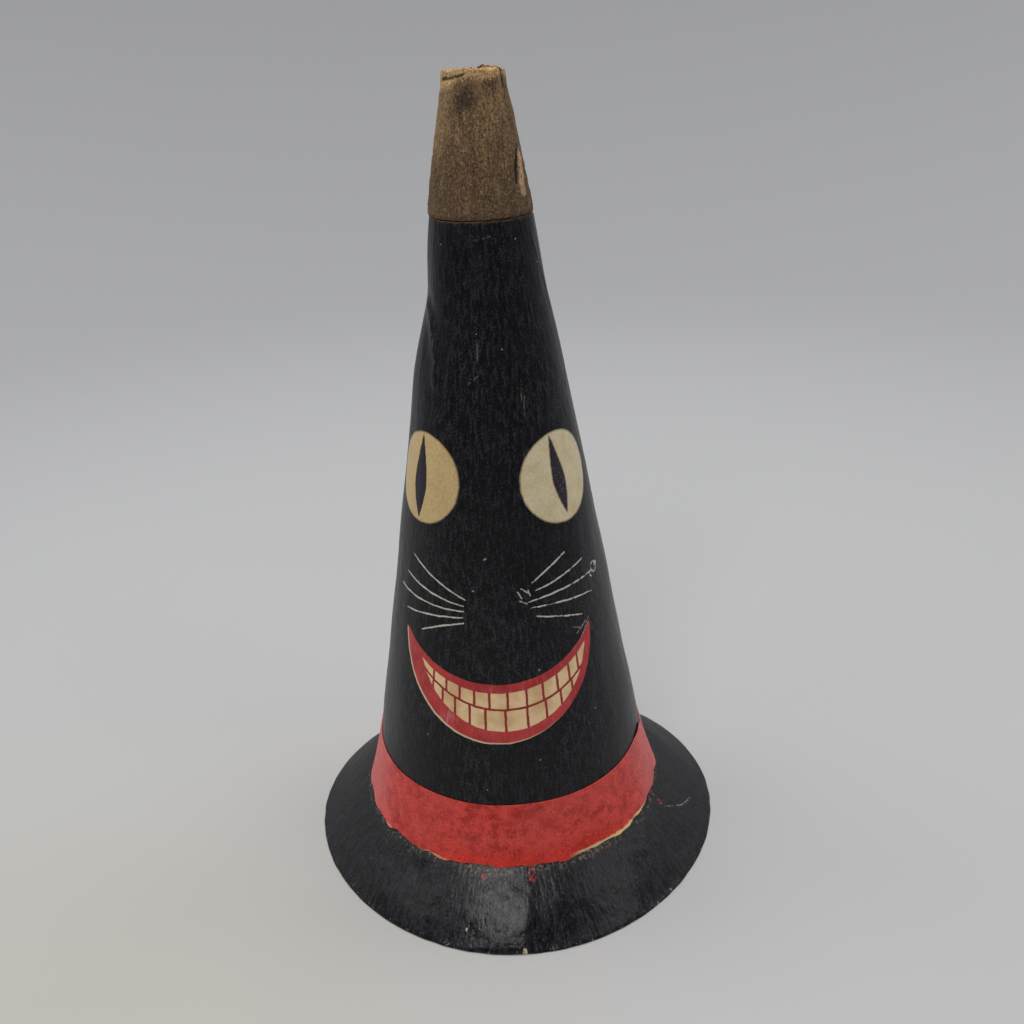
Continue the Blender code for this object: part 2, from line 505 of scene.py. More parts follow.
class Sheet:
    """The unrolled sheet in millimetres: x to the viewer's right, y upwards, 0 at the fan's point. Soft noise
    moves each spot a little, so that no printed edge is quite true."""

    def __init__(self, finish):
        self.finish = finish
        slant = (FAN_POINT - finish.height) * SLANT
        angle = (finish.turn - FACE_TURN) * FAN_ANGLE
        shake = (finish.noise(finish.place, 900, 1.0) - 0.5) * INK_WOBBLE
        sway = (finish.noise(finish.place, 520, 1.0) - 0.5) * INK_WOBBLE
        self.x = slant * angle.reckon("SINE") + shake
        self.y = sway - slant * angle.reckon("COSINE")
        self.angle = angle + shake / TEETH_SLANT

    def from_centre(self, x, y):
        """Distance from a point of the sheet."""
        return (self.x - x).diagonal(self.y - y)

    def stroke(self, start, end, width):
        """A straight stroke: 1 within half its width of the piece from start to end."""
        run = Vector(end) - Vector(start)
        length = run.length
        run = run / length
        dx = self.x - start[0]
        dy = self.y - start[1]
        along = dx * run.x + dy * run.y
        aside = abs(dx * run.y - dy * run.x)
        away = aside.most(abs(along - length / 2) - length / 2)
        return self.finish.fade(away, width / 2 + 0.18, width / 2)


# %% Eyes
EYES = [(-17.3, -119.0, 10.7), (17.6, -119.5, 10.7)]
LEFT_PUPIL = ((-16.4, -108.7), (-19.4, -128.6), 4.4)
RIGHT_PUPIL = ((14.7, -109.6), (19.4, -128.2), 3.9)


def pupil_ink(sheet, top, bottom, width, soft):
    """1 inside a slit with two sharp points. At a share t of the way from the widest place to a point its
    half width is a (1 - t^1.6), and the widest place lies a little below the middle."""
    axis = Vector(bottom) - Vector(top)
    half = axis.length / 2
    axis = axis / axis.length
    middle = (Vector(top) + Vector(bottom)) / 2
    dx = sheet.x - middle.x
    dy = sheet.y - middle.y
    along = (dx * axis.x + dy * axis.y) / half
    lowered = along - 0.12 * (1 - along * along)
    aside = abs(dx * axis.y - dy * axis.x)
    half_width = width / 2 * (1 - abs(lowered) ** 1.6)
    return sheet.finish.fade(aside - half_width, soft, -soft) * sheet.finish.fade(abs(along), 1.02, 0.98)


# %% Whiskers
WHISKERS = [
    ((-21.9, -137.9), (-18.3, -139.9), (-13.1, -143.3), (-6.5, -146.6)),
    ((-24.7, -142.5), (-18.8, -144.9), (-13.3, -146.8), (-7.0, -148.1)),
    ((-28.0, -146.0), (-23.3, -147.4), (-17.4, -148.7), (-12.0, -149.2), (-7.0, -149.5)),
    ((-25.0, -151.5), (-19.7, -151.7), (-12.9, -151.3), (-7.3, -150.9)),
    ((-19.4, -155.8), (-13.1, -153.7), (-7.1, -152.3)),
    ((17.9, -137.1), (13.3, -140.0), (9.0, -143.0)),
    ((23.5, -139.9), (16.1, -142.8), (9.7, -145.1)),
    ((26.8, -143.9), (23.0, -144.5), (15.1, -146.1), (7.7, -147.6)),
    ((26.7, -148.6), (17.1, -148.7), (8.4, -149.0)),
    ((22.6, -153.3), (14.8, -152.0), (9.8, -151.2)),
]


def whisker_ink(sheet, points, broken):
    """1 on a thin bowed stroke: y lies within half a line's width of a parabola in x, between its two ends.

    The parabola is fitted through the points here, so the shader only works out a + x (b + x c)."""
    x, y = np.array(points).T
    bend, slope, level = (float(c) for c in np.polyfit(x, y, 2))
    lean = math.sqrt(1 + (slope + 2 * bend * float(x.mean())) ** 2)
    off = abs(sheet.y - (sheet.x * (sheet.x * bend + slope) + level)) / lean
    middle = float(x.min() + x.max()) / 2
    half = float(x.max() - x.min()) / 2
    along = abs(sheet.x - middle) / half
    thin = 0.17 - 0.07 * along * along
    line = sheet.finish.fade(off - thin * broken, 0.13, -0.05)
    return line * sheet.finish.fade(along, 1.01, 0.98)


# %% Mouth and teeth
# Circles on the sheet: the centre's x and y, and the radius
LOWER_LIP = (0.2, -157.5, 24.85)
UPPER_LIP = (0.0, -135.7, 31.8)
TEETH_FOOT = (1.46, -157.94, 21.45)
TEETH_TOP = (0.15, -138.36, 31.35)
TEETH_MIDDLE = (1.6, -145.31, 28.56)
UPPER_ROW = (0.9, -141.8, 29.9)
LOWER_ROW = (1.5, -151.6, 25.0)

# Where each line between two teeth crosses its row's circle
UPPER_DIVIDERS = [-16, -12.6, -9.2, -5.6, -2.0, 2.3, 6.8, 10.8, 14.5, 17.7, 20.3]
LOWER_DIVIDERS = [-16.4, -13.8, -10.6, -6.9, -3.1, 1.7, 6.9, 11.5, 15.4, 18.5]


def between_arcs(sheet, lower, upper, slip=(0.0, 0.0)):
    """Below 0 inside the lower circle and outside the upper one, with both slipped aside."""
    (lower_x, lower_y, lower_radius), (upper_x, upper_y, upper_radius) = lower, upper
    in_lower = sheet.from_centre(lower_x + slip[0], lower_y + slip[1]) - lower_radius
    out_of_upper = upper_radius - sheet.from_centre(upper_x + slip[0], upper_y + slip[1])
    return in_lower.most(out_of_upper)


def divider_gap(sheet, dividers, row):
    """Distance to the nearest line between two teeth, in millimetres.

    Each line runs up the cone, so it has one angle at the fan's point: that of its place on the row's arc,
    where y = centre - root(radius^2 - (x - centre)^2)."""
    centre_x, centre_y, radius = row
    lines = [math.atan2(x, math.sqrt(radius ** 2 - (x - centre_x) ** 2) - centre_y) for x in dividers]
    return reduce(Socket.least, [abs(sheet.angle - line) for line in lines]) * TEETH_SLANT


def tooth_lines(sheet):
    """1 on a tooth's own area and 0 on the lines: between the two rows, and between neighbours in a row."""
    fade = sheet.finish.fade
    from_middle = sheet.from_centre(*TEETH_MIDDLE[:2]) - TEETH_MIDDLE[2]
    upper_row = fade(divider_gap(sheet, UPPER_DIVIDERS, UPPER_ROW), 0.20, 0.40)
    lower_row = fade(divider_gap(sheet, LOWER_DIVIDERS, LOWER_ROW), 0.20, 0.40)
    is_lower = fade(from_middle, -0.05, 0.05)
    gaps = upper_row * (1 - is_lower) + lower_row * is_lower
    return gaps * fade(abs(from_middle), 0.20, 0.38)


# %% [markdown]
# ## The cover's finish
#
# The black is a satin print over a paper with a fine upright grain. It is never quite black: the grain and
# the dust in it catch light, and worn folds show brown paper. The inks lie over it in order: cream for the
# eyes, whiskers and teeth, red for the mouth, and a sliver of cream beside the red where the two plates of
# the print didn't meet.

# %% Wear of the print
# Scratches from one turn and height to another, and their width
SCRATCHES = [
    ((-9.3, 138), (-9.2, 133.9), 0.10),
    ((-9.4, 131.3), (-16.9, 129.5), 0.08),
    ((8.1, 159.5), (2.3, 159.2), 0.12),
    ((2.3, 159.2), (-8.5, 158.8), 0.10),
    ((24.4, 126.0), (23.2, 122.9), 0.10),
    ((60.8, 158.4), (79.5, 146.5), 0.20),
    ((79.5, 146.5), (89.0, 138.0), 0.24),
    ((-77.8, 144.9), (-63.1, 141.6), 0.16),
    ((-63.1, 141.6), (-53.3, 137.3), 0.16),
    ((-53.3, 137.3), (-47.8, 133.1), 0.12),
]

# Turn, height and size
PALE_SPECKS = [
    (10.6, 136.5, 0.22), (-9.7, 140, 0.2), (35.7, 158.4, 0.24), (64.2, 152.6, 0.28), (-48.3, 157.8, 0.22),
    (-8.9, 90.7, 0.3), (-15.8, 83.2, 0.22), (11.8, 40.4, 0.26), (41.7, 48.2, 0.26), (-39.1, 44.5, 0.3),
    (-10.8, 33.4, 0.24), (-8.3, 90.9, 0.26), (-15.2, 83.2, 0.24), (15.1, 63.1, 0.3),
]

# On the flat sheet: strokes from start to end with their width, and circles
CORNER_SCRAPES = [
    ((20.6, -157.6), (23.6, -155.2), 0.16),
    ((22.3, -158.4), (24.6, -154.6), 0.12),
    ((19.4, -155.6), (21.4, -156.4), 0.10),
]
LOOSE_STROKES = [
    ((5.6, -144.9), (6.5, -146.5), 0.12),
    ((6.5, -144.2), (7.9, -145.2), 0.14),
    ((6.1, -147.1), (7.7, -147.9), 0.10),
    ((8.0, -144.7), (8.5, -146.0), 0.12),
]
CURLS = [(28.3, -143.2, 1.25), (27.2, -144.5, 0.75), (29.3, -142.6, 0.5)]
LIP_RUB = (-12.6, -177.0)


# %% Black, cream and red
def black_print(finish, sheet, grain, fine, cloud):
    """Satin black with an upright grain, dust, pale specks, and scratches that show the paper."""
    fade = finish.fade
    coats = Coats(finish, finish.mix(fade(grain * 0.45 + fine * 0.55, 0.49, 0.59), (1, 1, 3), (47, 47, 54)))
    coats.lay(fade(cloud, 0.35, 0.70) * 0.5, (7, 7, 11))
    coats.lay(finish.specks(420, 0.10) * fade(fine, 0.45, 0.6) * 0.30, (150, 148, 142))
    specks = [fade(sheet.from_centre(*on_sheet(*spot)), size, size * 0.4) for *spot, size in PALE_SPECKS]
    coats.lay(strongest(specks) * 0.5, (196, 190, 178))
    scratches = [sheet.stroke(on_sheet(*start), on_sheet(*end), width) for start, end, width in SCRATCHES]
    coats.lay(strongest(scratches) * fade(grain, 0.42, 0.58) * 0.40, (122, 112, 102))
    scrapes = strongest([sheet.stroke(*scrape) for scrape in CORNER_SCRAPES])
    coats.lay(scrapes * fade(fine, 0.44, 0.56) * 0.7, (186, 180, 166))
    return coats


def cream_ink(sheet, fine, stain):
    """Cream that is golden at the left eye, stained in patches and grained."""
    fade = sheet.finish.fade
    golden = fade(sheet.x, 4.0, -4.0) * fade(sheet.y, -145, -135)
    coats = Coats(sheet.finish, sheet.finish.mix(golden * 0.9, (210, 196, 160), (194, 164, 108)))
    coats.lay(fade(stain, 0.42, 0.70) * 0.40, (180, 150, 98))
    coats.lay(fade(fine, 0.45, 0.65) * 0.30, (228, 214, 182))
    coats.lay(fade(fine, 0.46, 0.34) * 0.25, (150, 128, 92))
    return coats.colour


def red_ink(sheet, grain, stain):
    """Red that is darker in patches, worn along the grain, and rubbed pale at one place of the lower lip."""
    fade = sheet.finish.fade
    coats = Coats(sheet.finish, sheet.finish.mix(fade(stain, 0.3, 0.7), (184, 62, 62), (160, 46, 50)))
    coats.lay(fade(grain, 0.5, 0.75) * 0.35, (204, 108, 102))
    rub = fade(sheet.from_centre(*LIP_RUB), 3.2, 0.5) * fade(grain, 0.40, 0.60)
    coats.lay(rub * 0.55, (206, 130, 122))
    return coats.colour


# %% Print the face
def print_face(coats, sheet, grain, fine):
    """Lay the eyes, the whiskers, the mouth and the teeth over the black."""
    finish = sheet.finish
    fade = finish.fade
    mix = finish.mix
    stain = finish.noise(finish.place, 210, 3.0)
    cream = cream_ink(sheet, fine, stain)

    eyes = strongest([fade(sheet.from_centre(x, y), size + 0.09, size - 0.09) for x, y, size in EYES])
    rims = strongest([-abs(sheet.from_centre(x, y) - size) for x, y, size in EYES])
    coats.lay(eyes, mix(fade(rims, -0.50, -0.10) * 0.65, cream, (70, 66, 44)))
    left_pupil = pupil_ink(sheet, *LEFT_PUPIL, 0.08)
    right_pupil = pupil_ink(sheet, *RIGHT_PUPIL, 0.30) * fade(fine, 0.10, 0.42)
    coats.lay(left_pupil.most(right_pupil), mix(fine, (18, 16, 22), (52, 44, 58)))

    broken = fade(finish.noise(finish.place, 700), 0.34, 0.52)
    whiskers = strongest([
        whisker_ink(sheet, points, broken if points[0][0] > 0 else broken * 0.5 + 0.5) for points in WHISKERS
    ])
    curls = strongest([fade(abs(sheet.from_centre(x, y) - size), 0.26, 0.10) for x, y, size in CURLS])
    strokes = strongest([sheet.stroke(*stroke) for stroke in LOOSE_STROKES])
    loose = (curls * 0.9).most(strokes * 0.8) * broken
    coats.lay(whiskers.most(loose) * 0.85, (208, 204, 190))

    slipped = between_arcs(sheet, LOWER_LIP, UPPER_LIP, (-0.42, -0.34))
    coats.lay(fade(slipped, 0.10, -0.10), (206, 180, 150))
    mouth = between_arcs(sheet, LOWER_LIP, UPPER_LIP)
    coats.lay(fade(mouth, 0.09, -0.09), red_ink(sheet, grain, stain))
    tooth = mix(0.75, cream, mix(fade(stain, 0.38, 0.66), (236, 198, 150), (210, 168, 118)))
    teeth = between_arcs(sheet, TEETH_FOOT, TEETH_TOP)
    coats.lay(fade(teeth, 0.08, -0.10), mix(tooth_lines(sheet), (142, 42, 42), tooth))


def printed_finish():
    finish = Finish("black_printed_paper", specular=0.24)
    fade = finish.fade
    sheet = Sheet(finish)
    grain = finish.noise(finish.stretched(0.14), 1500, 3.0, 0.6)
    fine = finish.noise(finish.place, 3200)
    cloud = finish.noise(finish.stretched(0.6), 60, 3.0)
    coats = black_print(finish, sheet, grain, fine, cloud)
    print_face(coats, sheet, grain, fine)
    fringe = fade(finish.height + (grain - 0.5) * 2.0, COVER_TOP - 0.5, COVER_TOP - 0.1)
    coats.lay(fringe * 0.7, (72, 58, 46))
    coats.lay(fade(finish.marked("unprinted"), 0.3, 0.6), (150, 126, 96))
    roughness = 0.30 + 0.30 * (grain - 0.5) + 0.12 * cloud
    relief = (grain - 0.5) * 0.070 + (fine - 0.5) * 0.035 + (cloud - 0.5) * 0.14
    return finish.use(coats.colour, roughness, relief)


dress(printed_cover, printed_finish(), "crown_cover")

# %% [markdown]
# ## The rolled board
#
# The core is stiff brown board rolled into a tube, and it shows only at the tip, where the black paper stops.
# Its end is torn and rubbed: the plies stand at different heights, a flap sticks up at the back, and the
# outer turn ends in a lifted edge down the right side, with a peeled strip beside it. The grid goes up the
# outside, over the plies, and down the bore, with its rows closest together at the tip.

# %% Tears and plies of the tip
# Chains of turn and height
SEAM = [(60, 192), (64, 184), (67, 174), (73, 162.5)]
PEEL = [(66.0, 174.7), (61.0, 172), (57.5, 169.3), (58.0, 167)]
SLIT = [(60.0, 175.3), (51.8, 172.2), (49.0, 169.2)]
CORNER_SLIT = [(-66, 189.2), (-40, 189.6), (-16, 190.4)]
RIGHT_SLITS = [(52, 192.0), (55, 189.6), (58, 187.6)]

# How far the bare board bulges at each height
BULGE = [(162.75, 0.10), (163.3, 0.42), (178, 0.52), (184, 0.38), (189, 0.20), (193, 0.10)]

# Turn, rise and reach round
TEARS = [(150, 1.3, 17), (-62, -0.6, 26), (30, -0.4, 22)]
PLIES = 5
TIP_WALL = 1.85


def tip_relief(height, turn):
    """The bare board bulges a little; beyond the seam one ply is missing; the peel stands out by its slit;
    the lip is crushed outwards."""
    seam_turns, seam_heights = np.array(SEAM[::-1]).T
    past = degrees_from(turn, 0) - np.interp(height, seam_heights, seam_turns)
    relief = np.interp(height, *np.array(BULGE).T)
    relief += 0.16 * smooth_step(past, -14, -1) * smooth_step(-past, -0.5, 0.5)
    relief -= 0.16 * smooth_step(past, -0.5, 1.2) * smooth_step(-past, -40, -24)
    relief += 0.20 * bell(chain_away(turn, height, PEEL, 8.6), 0.45)
    relief -= 0.34 * bell(chain_away(turn, height, SLIT, 8.6), 0.35)
    relief -= 0.36 * bell(chain_away(turn, height, CORNER_SLIT, 6.5), 0.40)
    relief -= 0.30 * bell(chain_away(turn, height, RIGHT_SLITS, 6.3), 0.30)
    relief += 0.30 * bell(height - 190.2, 1.4) * (1 + 0.6 * ripple(turn, 0 * height, 21, 7, 0))
    relief += 0.04 * ripple(turn, height, 22, 26, 40) + 0.02 * ripple(turn, height, 23, 60, 70)
    return relief


def tear_height(turn, share):
    """Height of the torn end at this share of the wall, 0 outside and 1 inside: the large tears, the
    raggedness, and a step from ply to ply."""
    height = TIP_TOP + 0.75 + 0.55 * np.cos(turn) + 0 * share
    for at_turn, rise, reach in TEARS:
        height = height + 0.8 * rise * bell(degrees_from(turn, at_turn), reach)
    ply = np.floor(share * PLIES * 0.999)
    ragged = ripple(turn, ply * 31, 24, 14, 3) * 0.16 + ripple(turn, ply * 31, 25, 60, 3) * 0.08
    flap = 0.65 * bell(degrees_from(turn, 121), 15) * smooth_step(share, 0.15, 0.35)
    ear = 0.75 * bell(degrees_from(turn, -64), 15)
    return height + ragged + flap + ear - 0.20 * (share < 0.15) - 0.25 * share


# %% Roll the core
def make_core(columns=260):
    """Outside rows from the foot to the lip, rows across the torn plies, and rows down the bore."""
    turns = columns_round(columns)
    hidden = np.concatenate([np.linspace(CROWN_FOOT, 156, 26), [159, 161, 162.3, 162.7]])
    bare = np.concatenate([[162.75], np.arange(163.2, 188.8, 0.36)])
    torn = np.linspace(0.0, 1.0, 3 * PLIES + 1)
    bore = np.concatenate([np.arange(188.4, 160, -2.0), np.linspace(158, CROWN_FOOT, 30)])
    at_tear = tear_height(turns, torn[:, None])
    up = bare[:, None] + smooth_step(bare[:, None], 182, 188.8) * (at_tear[0] - TIP_TOP)
    down = bore[:, None] + smooth_step(bore[:, None], 180, 188.4) * (at_tear[-1] - TIP_TOP)
    height = np.concatenate([hidden[:, None] + 0 * turns, up, at_tear, down])
    turn = np.broadcast_to(turns, height.shape)
    inset = np.concatenate([0.65 + 0 * hidden, 0 * bare, TIP_WALL * torn, TIP_WALL + 0 * bore])[:, None]
    bared = np.concatenate([0 * hidden, 1 + 0 * bare, 1 - torn, 0 * bore])[:, None]
    radius = crown(height, turn) - inset + bared * tip_relief(height, turn)
    counts = [len(hidden), len(bare), len(torn), len(bore)]
    in_bore = np.repeat([0.0, 0.0, 0.0, 1.0], counts)[:, None]
    radius = radius + in_bore * 0.05 * ripple(turn, height, 26, 20, 12)
    return ring_piece("rolled_core", radius, height, turn, np.repeat([0.5, 2.4, 1.6, 1.6], counts), sharp=60)


rolled_core = make_core()

# %% [markdown]
# ## Brown board
#
# Kraft board is a felt of brown fibres. It is stained darker towards the black paper, where hands held it,
# and smudged near the top, while the torn end is pale because the tear opened clean fibres. The colour is
# four noises: blotches, upright streaks that fade lower down, fibres, and specks.

# %% The board's finish
def mark_on(finish, around, height, chain, radius, full, none):
    """1 near a chain of (degrees, height), unrolled at one radius, and 0 further than none from it."""
    distances = []
    for (ax, ay), (bx, by) in unrolled(chain, radius):
        length = math.hypot(bx - ax, by - ay)
        run, rise = (bx - ax) / length, (by - ay) / length
        dx = around * radius - ax
        dy = height - ay
        along = (dx * run + dy * rise).most(0.0).least(length)
        distances.append((dx - along * run).diagonal(dy - along * rise))
    return finish.fade(reduce(Socket.least, distances), none, full)


def fibre_coats(finish, blotch, fibre, speck):
    """The board's own brown, before its smudges and tears, with a painted highlight on its upper left side.
    """
    fade = finish.fade
    coats = Coats(finish, finish.mix(fade(blotch, 0.36, 0.66), (130, 104, 73), (98, 76, 53)))
    coats.lay(fade(finish.height + (blotch - 0.5) * 12, 184, 164) * 0.70, (88, 67, 53))
    streak = finish.noise(finish.stretched(0.13), 800, 3.0, 0.6)
    low = fade(finish.height, 180, 168)
    coats.lay(fade(streak, 0.50, 0.66) * (0.55 - 0.30 * low), (60, 44, 32))
    coats.lay(fade(streak, 0.46, 0.34) * (0.35 - 0.20 * low), (166, 138, 94))
    # Painted highlight: the upper left of the tip is made lighter, where light falls on it.
    painted_upper_left_highlight = fade(finish.turn, -0.45, -1.05) * fade(finish.height, 170, 181)
    coats.lay(painted_upper_left_highlight * 0.35, (172, 144, 100))
    coats.lay(fade(fibre, 0.53, 0.66) * (0.50 - 0.12 * low), (180, 152, 104))
    coats.lay(fade(fibre, 0.50, 0.40) * (0.60 - 0.12 * low), (50, 36, 27))
    coats.lay(fade(speck, 0.55, 0.63) * 0.65, (32, 23, 19))
    return coats


def board_finish():
    finish = Finish("kraft_board", specular=0.25)
    fade = finish.fade
    mix = finish.mix
    turn = finish.turn
    height = finish.height
    blotch = finish.noise(finish.stretched(0.6), 210, 4.0, 0.65)
    fibre = finish.noise(finish.stretched(0.70), 2500, 3.0, 0.7)
    speck = finish.noise(finish.place, 3600, 2.0, 0.6)
    coats = fibre_coats(finish, blotch, fibre, speck)

    left_smudge = fade(abs(turn + 0.22), 0.46, 0.10) * fade(abs(height - 185.6), 3.4, 0.8)
    right_smudge = fade(abs(turn - 0.48), 0.34, 0.08) * fade(abs(height - 187.8), 2.4, 0.5)
    smudge = left_smudge.most(right_smudge) * fade(blotch + speck, 0.82, 1.02)
    coats.lay(smudge * 0.75, (44, 34, 30))
    left_ear = fade(turn, -0.45, -1.0) * 1.6
    pale_from = 188.6 - left_ear + (fibre - 0.5) * 6.0 + (blotch - 0.5) * 4.0
    torn = mix(fade(speck, 0.45, 0.62), (202, 168, 120), (140, 104, 66))
    coats.lay(fade(height, pale_from, pale_from + 1.4) * 0.9, torn)
    bore = fade(finish.from_axis * 1000 - taper(height), -1.25, -1.50)
    coats.lay(bore, mix(fade(fibre, 0.40, 0.62), (150, 118, 80), (104, 78, 52)))
    flap = fade(abs(turn), 1.80, 2.00) * fade(turn, 0.0, 0.2) * fade(height, 190.4, 191.0)
    coats.lay(flap * 0.85, mix(fade(speck, 0.48, 0.62), (104, 76, 46), (178, 124, 66)))

    shaken = height + (blotch - 0.5) * 3.0
    peel = mark_on(finish, turn, shaken, PEEL, 8.6, 0.35, 1.00) * fade(speck, 0.66, 0.52)
    slit = mark_on(finish, turn, shaken, SLIT, 8.6, 0.10, 0.45)
    corner = mark_on(finish, turn, shaken, CORNER_SLIT, 6.5, 0.10, 0.50)
    right = mark_on(finish, turn, shaken, RIGHT_SLITS, 6.5, 0.10, 0.45)
    seam = mark_on(finish, turn, height, [(x + 1.5, y) for x, y in SEAM], 8.0, 0.12, 0.42)
    coats.lay(peel * 0.8, (202, 164, 130))
    # Painted shade: the slits and the edge of the seam's lifted lap are darkened where shade falls into them.
    slit_and_seam_shade = strongest([slit, corner.most(right) * 0.85, seam])
    coats.lay(slit_and_seam_shade * fade(height, 162.0, 163.0), (26, 19, 16))
    relief = (fibre - 0.5) * 0.16 + (speck - 0.5) * 0.08 + (blotch - 0.5) * 0.12
    return finish.use(coats.colour, 0.82 + 0.1 * (speck - 0.5), relief)


dress(rolled_core, board_finish(), "cone_core")

# %% [markdown]
# ## The red band
#
# A strip of red paper hides the joint of crown and brim. Its upper edge was cut clean. Its lower edge is
# ragged and lifts a little off the brim, showing its cream core at the lower right, and its end laps over its
# start near the right side, torn and chipped. The start was glued on a little lower than the end, so the
# upper edge steps down there. The columns of the grid lean with the torn end, so its edge is smooth at any
# height.

# %% The strip
BAND_END = 80.0
BAND_FOOT = 14.3
BAND_TOP = 29.4
BAND_RISE = 1.25


def band_end(height):
    """The turn of the strip's torn end at each height, in degrees."""
    large = 1.1 * ripple(0 * height, height, 31, 1, 26)
    return BAND_END + large + 0.5 * ripple(0 * height, height, 32, 1, 60)


def make_band(columns=360, rows=30):
    """Radius from the solid's own rule: clear of the brim's neck at the foot, close on the cover at the top.

    The strip's end lies over its start, so the last degrees before the end stand one thickness further out,
    and the step down comes at the end itself, over half a degree."""
    turns = columns_round(columns)
    counts = [rows, 1, rows, 1]
    share = np.linspace(0, 1, rows)
    share = np.concatenate([share, [1.0], share[::-1], [0.0]])[:, None]
    outer = np.repeat([1.0, 0.5, 0.0, 0.5], counts)[:, None]
    before = degrees_from(turns, BAND_END)
    lean = band_end(BAND_FOOT + share * 15) - BAND_END
    turn = turns + np.radians(lean * bell(before, 8))

    ragged = 0.28 * ripple(turn, 0 * share, 33, 30, 0) + 0.14 * ripple(turn, 0 * share, 34, 70, 0)
    foot = BAND_FOOT - 0.25 + ragged - 0.35 * bell(degrees_from(turn, 40), 20)
    top = BAND_TOP + BAND_RISE * (1 - np.cos(turn)) + 0.06 * ripple(turn, 0 * share, 35, 12, 0)
    top = top - 2.4 * smooth_step(before, -0.5, 0.5) * smooth_step(-before, -75, -25)
    top = top - 0.9 * smooth_step(before, -4, -0.5) * smooth_step(-before, -0.5, 0.5)
    height = foot + share * (top - foot)

    lap = smooth_step(before, -15, -8) * smooth_step(-before, -0.4, 0.4)
    lifted = 0.25 * (1 - share) ** 6 * (1 + 0.9 * ripple(turn, 0 * share, 36, 26, 0))
    wave = (0.05 * ripple(turn, height, 37, 14, 8) + 0.02 * ripple(turn, height, 38, 50, 30)) * (1 - share)
    curled = 0.6 * bell(height - 21, 3.5) * bell(before + 1, 3.0) * (before < 0.4)
    stand_off = 0.95 + share * (0.09 - 0.95) + 0.26 * lap + lifted + wave + curled
    wall = 0.20 + 0.14 * (1 - share)
    radius = crown(height, turn) + cover_lap(turn) + stand_off + outer * wall
    return ring_piece("red_band", radius, height, turn, np.repeat([1.0, 0.3, 0.25, 0.3], counts))


red_band = make_band()

# %% [markdown]
# ## Red paper
#
# The red is a thin matt colour over paper, so it is mottled: darker where it pooled and pinker where it was
# rubbed. Towards both sides it is painted pinker still, as a painted sheen. A brighter orange red shows along
# the lower front. Cut and torn edges show cream.

# %% The band's finish
def band_finish():
    finish = Finish("red_paper", specular=0.35)
    fade = finish.fade
    mix = finish.mix
    turn = finish.turn
    blotch = finish.noise(finish.place, 330, 4.0, 0.68)
    large = finish.noise(finish.place, 70)
    speck = finish.noise(finish.place, 1900, 2.0, 0.6)
    coats = Coats(finish, mix(fade(blotch, 0.40, 0.62), (208, 66, 58), (168, 38, 34)))
    coats.lay(fade(large, 0.4, 0.7) * 0.5, (196, 72, 64))
    coats.lay(fade(blotch, 0.60, 0.72) * 0.35, (118, 24, 26))
    low_front = fade(finish.height + (blotch - 0.5) * 5, 19.5, 15.0) * fade(abs(turn - 0.15), 0.95, 0.35)
    coats.lay(low_front * 0.75, (198, 40, 22))
    # Painted sheen: the band is made pinker towards both sides, where light glances off it.
    coats.lay(fade(abs(turn), 0.85, 1.35) * 0.70, (212, 116, 114))
    coats.lay(fade(speck, 0.56, 0.68) * 0.45, (106, 22, 22))
    coats.lay(fade(speck, 0.44, 0.32) * 0.30, (214, 112, 98))

    uneven = finish.height + (blotch - 0.5) * 1.6
    right_cut = fade(uneven, 14.7, 14.2) * fade(turn, 0.32, 0.45) * fade(turn, 1.15, 1.0)
    left_cut = fade(uneven, 14.1, 13.8) * fade(turn, -0.35, -0.6) * 0.6
    coats.lay(right_cut.most(left_cut), (214, 186, 130))
    from_end = abs(turn - math.radians(BAND_END + 0.6)) * 36 + (speck - 0.5) * 1.2
    coats.lay(fade(from_end, 0.62, 0.34) * 0.8, mix(blotch, (226, 150, 142), (120, 30, 34)))
    relief = (blotch - 0.5) * 0.05 + (speck - 0.5) * 0.05
    return finish.use(coats.colour, 0.56 + 0.2 * (blotch - 0.5), relief)


dress(red_band, band_finish(), "hat_band")

# %% [markdown]
# ## The brim
#
# The brim was pressed from wet pulp over a form: a collar under the band, then a skirt that slopes to a worn
# rounded edge. Pulp shrinks as it dries, so the skirt is lumpy and a little out of round, and a low fold runs
# down its front. The section is the solid's, with the edge rounded, and the unevenness is added along the
# surface's own outward direction.

# %% Section of the brim
NECK_HEIGHT = 14.0
NECK_RADIUS = taper(NECK_HEIGHT) + 0.85
BRIM_REACH = 53.5
BRIM_BEND_OUT = 0.47
BRIM_BEND_UP = 0.58
BRIM_WALL = 1.5
EDGE_WIDTH = 2.1
FRONT_FOLD = 5.0


def curve(share, start, bend, end):
    """A quadratic curve: (1 - s)^2 start + 2 (1 - s) s bend + s^2 end."""
    return (1 - share) ** 2 * start + 2 * (1 - share) * share * bend + share ** 2 * end


def skirt(share):
    """The skirt's upper side, from the neck to the edge: radius, height, and the outward direction."""
    start = np.array([NECK_RADIUS, NECK_HEIGHT])
    bend = np.array([NECK_RADIUS + (BRIM_REACH - NECK_RADIUS) * BRIM_BEND_OUT, NECK_HEIGHT * BRIM_BEND_UP])
    end = np.array([BRIM_REACH, 0.0])
    share = share[:, None]
    run = (1 - share) * (bend - start) + share * (end - bend)
    run = run / np.linalg.norm(run, axis=1, keepdims=True)
    return curve(share, start, bend, end), np.stack([-run[:, 1], run[:, 0]], axis=-1)


def brim_reach(turn):
    """The outline: the mean reach, a little more on the right, two lobes to the sides and three more, one of
    them in front."""
    return BRIM_REACH + 0.7 * np.sin(turn) + 1.2 * np.cos(2 * (turn - np.pi / 2)) + 1.0 * np.cos(3 * turn)


def front_fold(turn, share):
    """Height of the low fold: a long rise from the left, then a short fall to the right. Its crest leans from
    FRONT_FOLD degrees at the neck to 0 at the edge."""
    past = degrees_from(turn - np.radians(FRONT_FOLD) * (1 - share), 0)
    return np.where(past < 0, np.exp(past / 12), np.exp(-past / 2.4))


